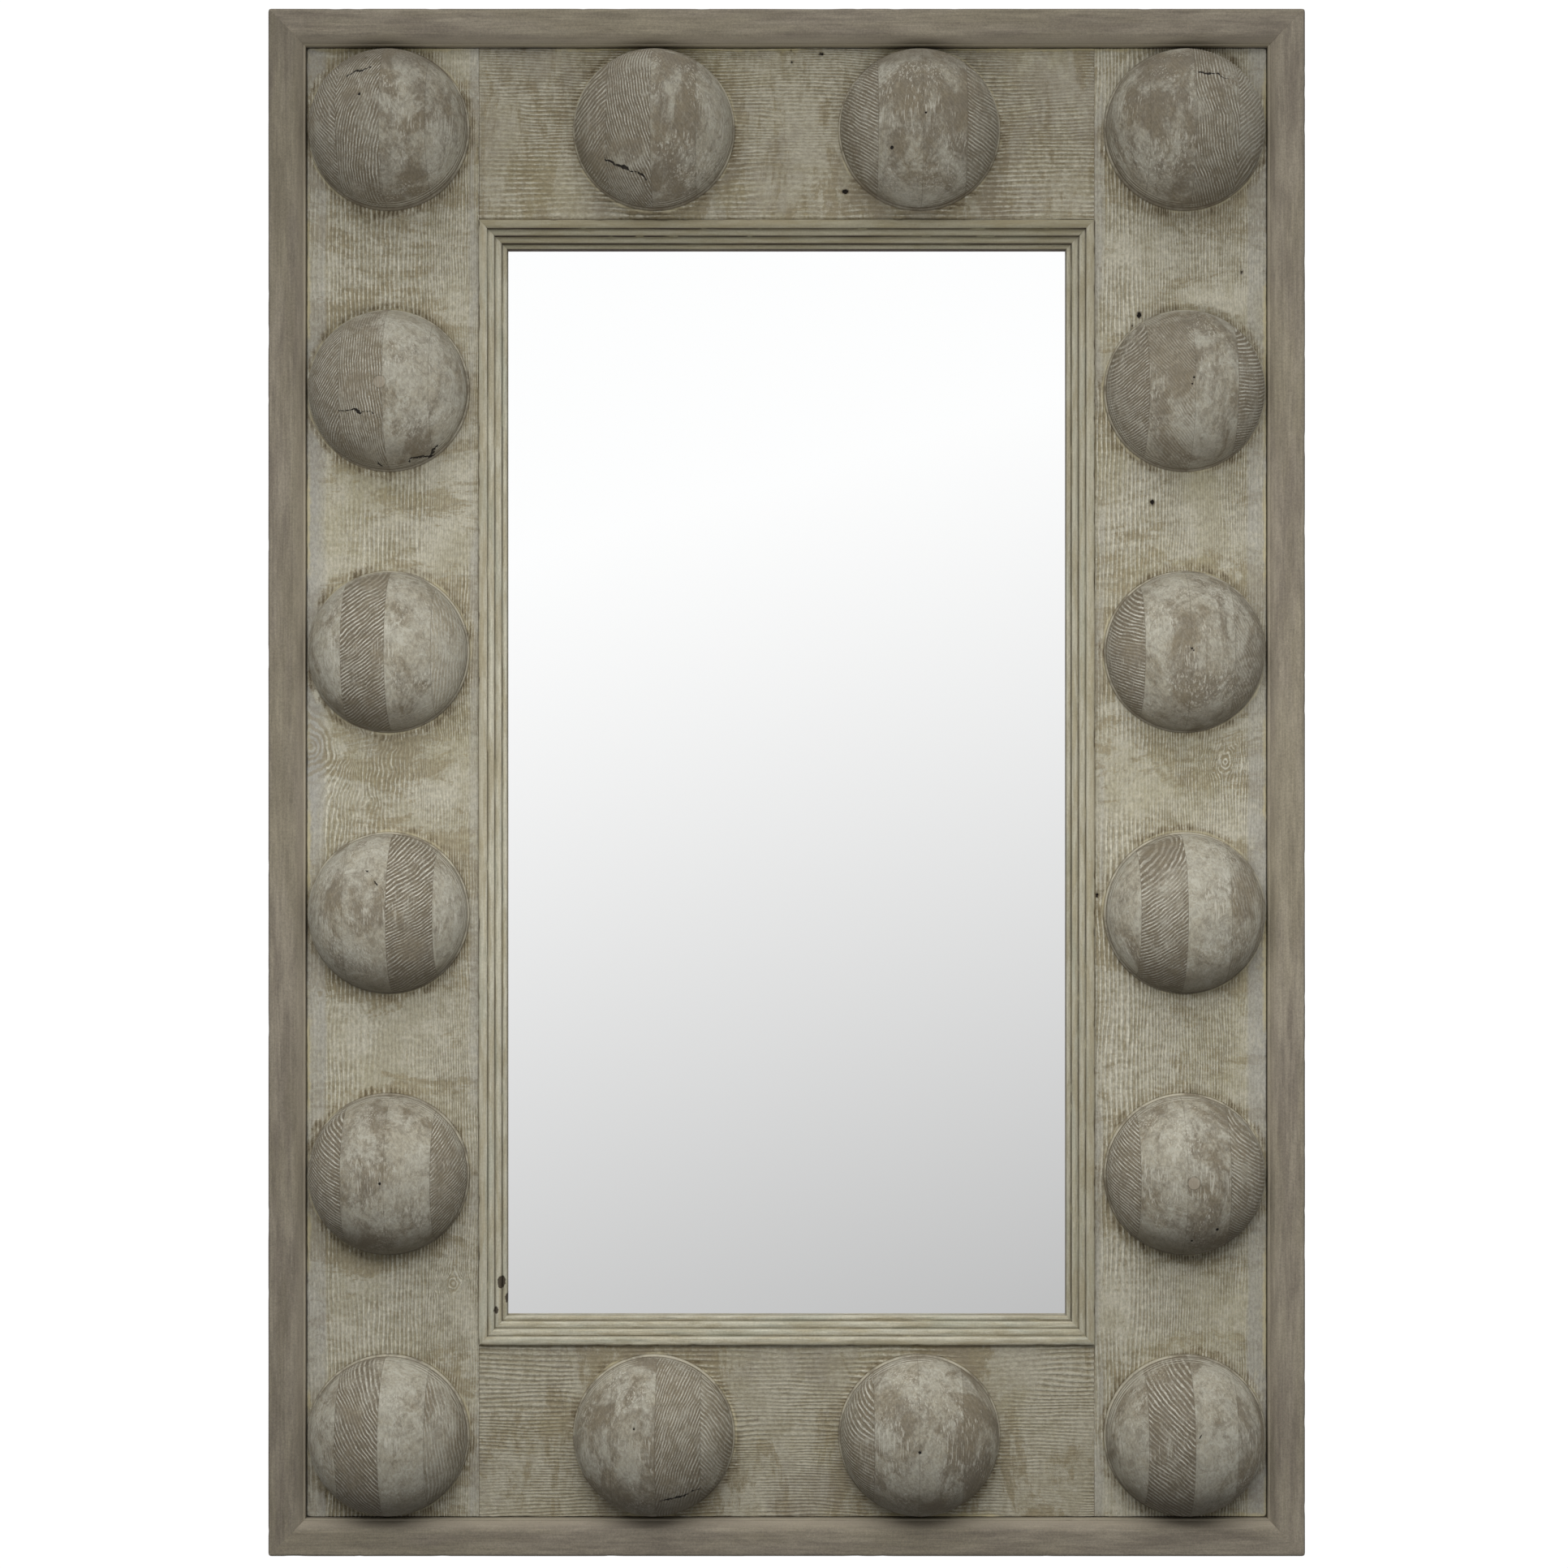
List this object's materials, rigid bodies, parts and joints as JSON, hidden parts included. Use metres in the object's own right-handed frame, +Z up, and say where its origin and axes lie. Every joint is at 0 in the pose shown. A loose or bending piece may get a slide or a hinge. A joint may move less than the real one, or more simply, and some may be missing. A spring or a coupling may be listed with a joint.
{
  "type": "framed wall mirror",
  "caption": "Tall flat wall mirror in a wide limed wood frame with turned half-round domes, a reeded inner moulding and D-ring hangers.",
  "frame": {"origin": "centre of the plane where the frame's back touches the wall", "axes": "+Z up, +X to the right as seen from the front, the front faces -Y and the wall lies at +Y"},
  "size_m": [1.222, 0.1173, 1.824],
  "materials": {
    "moulding_wood": "grey-brown lime wash, satin",
    "board_wood": "wire-brushed, whitewashed",
    "dome_wood": "turned, combed and grey-washed",
    "reed_wood": "whitewashed, worn",
    "mirror": "silvered flat glass",
    "backing": "raw fibreboard",
    "dowel_wood": "raw beech",
    "zinc_steel": "zinc plated"
  },
  "bodies": {
    "frame": {"moulding_left": "moulding_wood", "moulding_right": "moulding_wood", "moulding_top": "moulding_wood", "moulding_bottom": "moulding_wood", "stile_left": "board_wood", "stile_right": "board_wood", "rail_top": "board_wood", "rail_bottom": "board_wood", "dome_left_1": "dome_wood", "dome_left_2": "dome_wood", "dome_left_3": "dome_wood", "dome_left_4": "dome_wood", "dome_left_5": "dome_wood", "dome_left_6": "dome_wood", "dome_right_1": "dome_wood", "dome_right_2": "dome_wood", "dome_right_3": "dome_wood", "dome_right_4": "dome_wood", "dome_right_5": "dome_wood", "dome_right_6": "dome_wood", "dome_top_1": "dome_wood", "dome_top_2": "dome_wood", "dome_bottom_1": "dome_wood", "dome_bottom_2": "dome_wood", "reeded_moulding_left": "reed_wood", "reeded_moulding_right": "reed_wood", "reeded_moulding_top": "reed_wood", "reeded_moulding_bottom": "reed_wood", "mirror_glass": "mirror", "backing_board": "backing", "dowel_top_left_1": "dowel_wood", "dowel_top_left_2": "dowel_wood", "dowel_top_right_1": "dowel_wood", "dowel_top_right_2": "dowel_wood", "dowel_bottom_left_1": "dowel_wood", "dowel_bottom_left_2": "dowel_wood", "dowel_bottom_right_1": "dowel_wood", "dowel_bottom_right_2": "dowel_wood", "hanger_left": "zinc_steel", "hanger_screw_left_1": "zinc_steel", "hanger_screw_left_2": "zinc_steel", "hanger_right": "zinc_steel", "hanger_screw_right_1": "zinc_steel", "hanger_screw_right_2": "zinc_steel"},
    "ring_left": {"d_ring_left": "zinc_steel"},
    "ring_right": {"d_ring_right": "zinc_steel"}
  },
  "joints": [
    {"name": "ring_left_swing", "type": "hinge", "parent": "frame", "child": "ring_left", "pos_m": [-0.466, -0.0069, 0.6], "axis": [1, 0, 0], "range_deg": [0, 180]},
    {"name": "ring_right_swing", "type": "hinge", "parent": "frame", "child": "ring_right", "pos_m": [0.466, -0.0069, 0.6], "axis": [1, 0, 0], "range_deg": [0, 180]}
  ]
}
